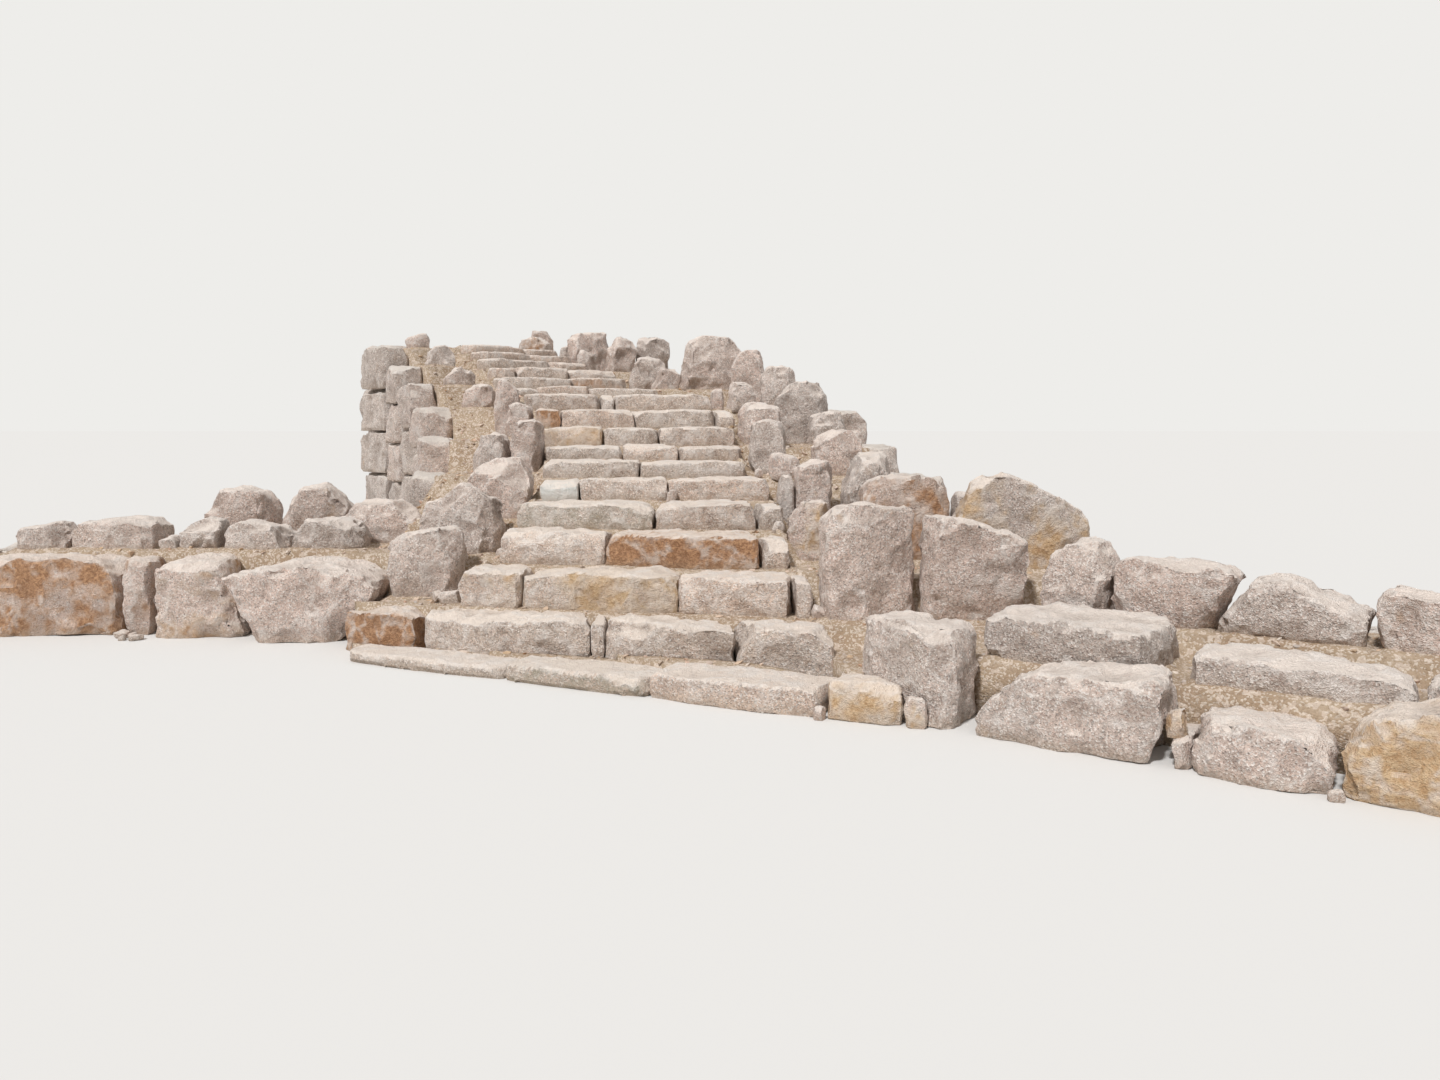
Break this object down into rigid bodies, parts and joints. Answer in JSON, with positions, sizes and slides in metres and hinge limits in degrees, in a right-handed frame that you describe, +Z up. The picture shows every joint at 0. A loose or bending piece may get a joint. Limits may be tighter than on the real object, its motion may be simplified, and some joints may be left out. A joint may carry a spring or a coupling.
{
  "type": "outdoor stone steps",
  "caption": "Garden flight of rough-split granite steps that climbs and turns left between boulder cheeks, with low boulder walls to either side of its foot.",
  "frame": {"origin": "on the ground under the middle of the first row of step stones, close behind its front foot", "axes": "+Z up, +Y up the flight and away from the viewer, +X to the viewer's right when facing the steps"},
  "size_m": [10.5803, 12.2542, 2.895],
  "materials": {
    "step_stone": "rough split pinkish grey granite",
    "boulder": "rough split pinkish granite boulders with rusty stains",
    "facing": "rough granite facing stones",
    "fill": "compacted sandy granite chippings"
  },
  "bodies": {
    "root": {"back_wall_high": "facing", "back_wall_low": "facing", "bend_ring": "boulder", "corner_boulder": "boulder", "left_bench_even": "fill", "left_bench_odd": "fill", "left_cheek_lower": "boulder", "left_cheek_upper": "boulder", "left_flank_high": "facing", "left_flank_low": "facing", "left_wing_base": "boulder", "left_wing_cap": "boulder", "left_wing_fill": "fill", "right_bench_even": "fill", "right_bench_odd": "fill", "right_cheek_inner": "boulder", "right_cheek_lower": "boulder", "right_cheek_outer": "boulder", "right_flank_high": "facing", "right_flank_low": "facing", "right_wing_course_1": "boulder", "right_wing_course_2": "boulder", "right_wing_course_3": "boulder", "right_wing_fill_high": "fill", "right_wing_fill_low": "fill", "step_01": "step_stone", "step_02": "step_stone", "step_03": "step_stone", "step_04": "step_stone", "step_05": "step_stone", "step_06": "step_stone", "step_07": "step_stone", "step_08": "step_stone", "step_09": "step_stone", "step_10": "step_stone", "step_11": "step_stone", "step_12": "step_stone", "step_13": "step_stone", "step_14": "step_stone", "step_15": "step_stone", "step_16": "step_stone", "step_17": "step_stone", "tall_boulder": "boulder", "tread_fill_even": "fill", "tread_fill_odd": "fill", "wedge_stones": "boulder"}
  },
  "joints": []
}
